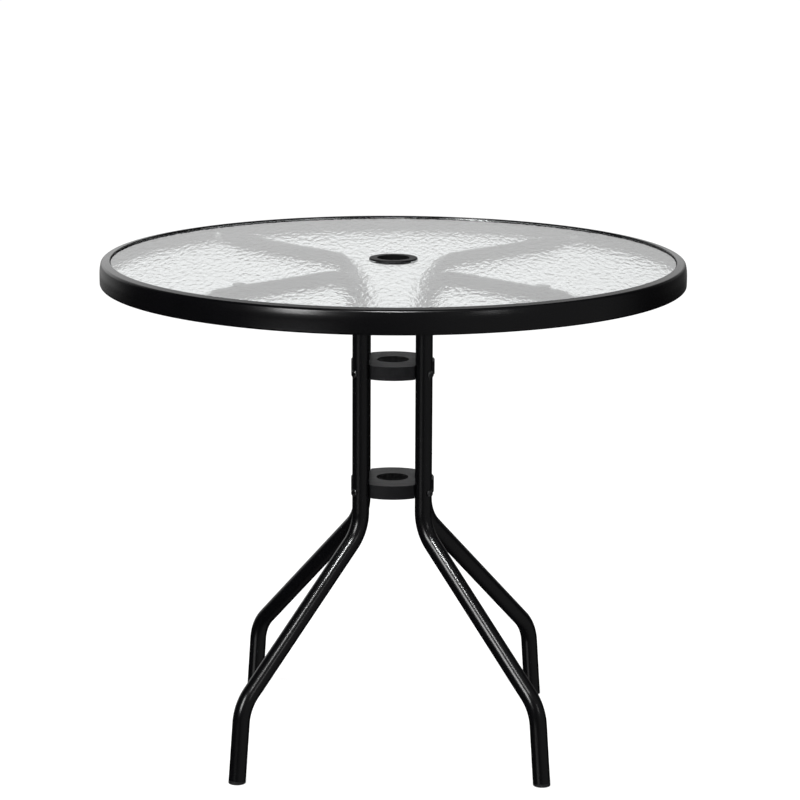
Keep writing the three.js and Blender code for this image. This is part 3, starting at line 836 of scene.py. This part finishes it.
def makeBoltMesh():
    bm = bmesh.new()
    hexBlock(bm, fastener["headLow"], fastener["headHigh"], False, True)
    shank = bmesh.new()
    low = fastener["headHigh"] - fastener["shankInHead"]
    verts = openLine(shank, [
        (0, low), (fastener["shank"], low), (fastener["shank"], fastener["end"]), (0, fastener["end"]),
    ])
    roundCorners(shank, [verts[2]], fastener["shankEdge"], fastener["edgeSteps"])
    turnRound(shank, fastener["shankSteps"])
    shankMesh = meshOf(shank, "shank")
    bm.from_mesh(shankMesh)
    bpy.data.meshes.remove(shankMesh)
    bmesh.ops.translate(bm, verts=bm.verts[:], vec=(fastener["at"], 0, 0))
    return meshOf(bm, "armBolt")


def makeNutMesh():
    bm = bmesh.new()
    hexBlock(bm, fastener["nutLow"], fastener["nutHigh"], True, False)
    bore = bmesh.new()
    bmesh.ops.create_cone(
        bore, cap_ends=True, segments=fastener["shankSteps"], radius1=fastener["bore"],
        radius2=fastener["bore"], depth=6 * (fastener["nutHigh"] - fastener["nutLow"]),
        matrix=Matrix.Translation((0, 0, fastener["nutLow"])),
    )
    bm = cutAway(bm, bore)
    bmesh.ops.translate(bm, verts=bm.verts[:], vec=(fastener["at"], 0, 0))
    return meshOf(bm, "armNut")


def makeWasherMesh():
    bm = bmesh.new()
    verts = closedLine(bm, [
        (fastener["washerBore"], fastener["washerLow"]), (fastener["washer"], fastener["washerLow"]),
        (fastener["washer"], fastener["washerHigh"]), (fastener["washerBore"], fastener["washerHigh"]),
    ])
    roundCorners(bm, verts, fastener["washerEdge"], fastener["edgeSteps"])
    turnRound(bm, fastener["washerSteps"])
    bmesh.ops.translate(bm, verts=bm.verts[:], vec=(fastener["at"], 0, 0))
    return meshOf(bm, "armWasher")


makeAtLegs("arm_bolt", makeBoltMesh(), "zinc_steel")
makeAtLegs("arm_nut", makeNutMesh(), "zinc_steel")
makeAtLegs("arm_washer", makeWasherMesh(), "zinc_steel")

# Collar screws: pan heads with a cross recess

screw = {
    "seat": 0.07285, "head": 0.00506, "tall": 0.0024, "roundShare": 0.62, "roundSteps": 7, "steps": 48,
    "shank": 0.0023, "tip": 0.03475, "drop": 0.0110,
    "recessLong": 0.0026, "recessThin": 0.00066, "recessDeep": 0.0012,
}


def makeScrewMesh():
    bm = bmesh.new()
    seat, top, head, shank = screw["seat"], screw["seat"] + screw["tall"], screw["head"], screw["shank"]
    verts = openLine(bm, [
        (0, screw["tip"]), (shank, screw["tip"] + shank), (shank, seat), (head, seat), (head, top), (0, top),
    ])
    roundCorners(bm, [verts[4]], screw["tall"] * screw["roundShare"], screw["roundSteps"])
    turnRound(bm, screw["steps"])
    cross = bmesh.new()
    long, thin, deep = screw["recessLong"], screw["recessThin"], screw["recessDeep"]
    for across, along in ((long, thin), (thin, long)):
        shape = Matrix.Diagonal((2 * across, 2 * along, 2 * deep, 1))
        bmesh.ops.create_cube(cross, size=1, matrix=Matrix.Translation((0, 0, top)) @ shape)
    bm = cutAway(bm, cross)
    bmesh.ops.rotate(bm, cent=(0, 0, 0), matrix=Matrix.Rotation(math.pi / 2, 3, "Y"), verts=bm.verts[:])
    return meshOf(bm, "collarScrew")


screwMesh = makeScrewMesh()
for name in ("upper", "lower"):
    moved = screwMesh.copy()
    moved.transform(Matrix.Translation((0, 0, collar[name + "Top"] - screw["drop"])))
    makeAtLegs(name + "_collar_screw", moved, "black_screw_steel")
print("fasteners made")

# Studio: white floor and background, dark room in front, soft boxes

view = {
    "focal": 134.92, "distance": 4.0466, "height": 1.3431, "azimuth": 0.740, "pitch": 11.975,
    "yaw": -0.140, "roll": 0.263, "sensor": 36, "clipEnd": 200,
}


def makeCamera():
    azimuth, pitch = math.radians(view["azimuth"]), math.radians(view["pitch"])
    facing, roll = azimuth + math.radians(view["yaw"]), math.radians(view["roll"])
    level = Vector((-math.sin(facing), math.cos(facing), 0))
    right = Vector((math.cos(facing), math.sin(facing), 0))
    ahead = level * math.cos(pitch) - Vector((0, 0, math.sin(pitch)))
    up = right.cross(ahead)
    right, up = right * math.cos(roll) + up * math.sin(roll), up * math.cos(roll) - right * math.sin(roll)
    camera = bpy.data.cameras.new("camera")
    camera.lens = view["focal"]
    camera.sensor_width = view["sensor"]
    camera.clip_end = view["clipEnd"]
    holder = bpy.data.objects.new("camera", camera)
    turned = Matrix((right, up, -ahead)).transposed().to_4x4()
    place = Vector((math.sin(azimuth), -math.cos(azimuth), 0)) * view["distance"]
    turned.translation = place + Vector((0, 0, view["height"]))
    holder.matrix_world = turned
    scene.collection.objects.link(holder)
    scene.camera = holder


makeCamera()

ground = {
    "size": 30, "below": 0.0004, "patches": (0.6, 2), "dark": (0.55, 0.55, 0.55), "light": (0.57, 0.57, 0.57),
    "glow": 0.5, "roughness": 0.9,
}


def makeFloor():
    bm = bmesh.new()
    bmesh.ops.create_grid(
        bm, x_segments=4, y_segments=4, size=ground["size"],
        matrix=Matrix.Translation((0, 0, -ground["below"])),
    )
    floor = bpy.data.objects.new("floor", meshOf(bm, "floor"))
    scene.collection.objects.link(floor)
    constants = {
        "Roughness": ground["roughness"], "Specular IOR Level": 0.0,
        "Emission Color": (1, 1, 1, 1), "Emission Strength": ground["glow"],
    }
    paint = newFinish("floorPaint", constants, lambda shading: {
        "Base Color": shading.blend(shading.cloud(*ground["patches"]), ground["dark"], ground["light"]),
    })
    floor.data.materials.append(paint)
    floor.visible_glossy = False


makeFloor()

softBoxes = {
    "topBox": {"place": (0.0, -1.71, 2.9), "target": (0, 0, 0.3), "size": (0.42, 0.42), "power": 38},
    "leftBox": {"place": (-1.90, -2.74, 2.0), "target": (0, 0, 0.9), "size": (0.8, 1.7), "power": 60},
    "rightBox": {"place": (2.2, -2.95, 1.7), "target": (0, 0, 0.6), "size": (0.4, 0.9), "power": 3.8},
}


def makeSoftBoxes():
    for name, box in softBoxes.items():
        light = bpy.data.lights.new(name, "AREA")
        light.shape = "RECTANGLE"
        light.size, light.size_y = box["size"]
        light.energy = box["power"]
        holder = bpy.data.objects.new(name, light)
        aim = (Vector(box["target"]) - Vector(box["place"])).to_track_quat("-Z", "Y")
        holder.matrix_world = Matrix.Translation(box["place"]) @ aim.to_matrix().to_4x4()
        holder.visible_camera = False
        scene.collection.objects.link(holder)


makeSoftBoxes()

# The room: two numbers are a range of the direction's x, y or z, or of its nearness to patchAim, and
# where two more follow, a brightness rises from the third to the fourth along that range
room = {
    "lowWall": (-0.20, -0.14, 0.0, 0.4), "highWall": (-0.02, 0.12, 0.0, 0.58), "backWall": (0.45, 0.95),
    "dimmer": (0.24, 0.38, 0.0, 0.35), "darkTop": (0.50, 0.64, 0.0, 0.65),
    "darkRight": (0.0, 0.45, 0.0, 0.85), "rightGlow": (-0.35, 0.6, 0.0, 0.15), "glowFront": (-0.1, 0.45),
    "patchAim": (-0.60, -0.765, -0.235), "patchNear": (0.94, 0.99), "patchLow": (-0.25, -0.28),
    "patchLight": 1.3, "dark": 0.01, "throughGlass": 0.95, "downThroughGlass": (0.0, 0.3, 0.0, 0.75),
    "onMatt": 0.95,
}


def makeWorld():
    # seen straight the room is white, and through the glass too, apart from its dimmer top; mirrored
    # it is dark, with a white wall at the back, a faint glow at the front right and one low bright
    # patch at the front left
    world = bpy.data.worlds.new("studio")
    world.use_nodes = True
    world.cycles.sampling_method = "NONE"
    scene.world = world
    shading = Shading(world.node_tree)
    spot = shading.node("TexCoord", output="Generated")
    across, depth, height = (
        shading.node("SeparateXYZ", {}, {0: spot}, output=axis) for axis in range(3)
    )
    rise = shading.between(height, *room["lowWall"]) + shading.between(height, *room["highWall"])
    top = 1 - shading.between(height, *room["dimmer"]) - shading.between(height, *room["darkTop"])
    lit = 1 - shading.between(across, *room["darkRight"])
    wall = shading.between(depth, *room["backWall"]) * rise * top * lit
    aim = Vector(room["patchAim"]).normalized()
    near = shading.node("VectorMath", {"operation": "DOT_PRODUCT"}, {0: spot, 1: aim}, output=1)
    patch = shading.between(near, *room["patchNear"]) * shading.between(height, *room["patchLow"])
    side = shading.between(across, *room["rightGlow"]) * (1 - shading.between(depth, *room["glowFront"]))
    mirrored = room["dark"] + side + wall + patch * room["patchLight"]
    through = room["throughGlass"] - shading.between(height, *room["downThroughGlass"])
    camera, transmission, glossy = (
        shading.node("LightPath", output=f"Is {name} Ray") for name in ("Camera", "Transmission", "Glossy")
    )
    glossy = glossy * (1 - transmission)        # a ray through glass can count as both
    spread = 1 - camera - transmission - glossy
    light = camera + transmission * through + glossy * mirrored + spread * room["onMatt"]
    background = world.node_tree.nodes["Background"]
    world.node_tree.links.new(light.socket, background.inputs["Strength"])
    background.inputs["Color"].default_value = (1, 1, 1, 1)


makeWorld()
print("studio ready")
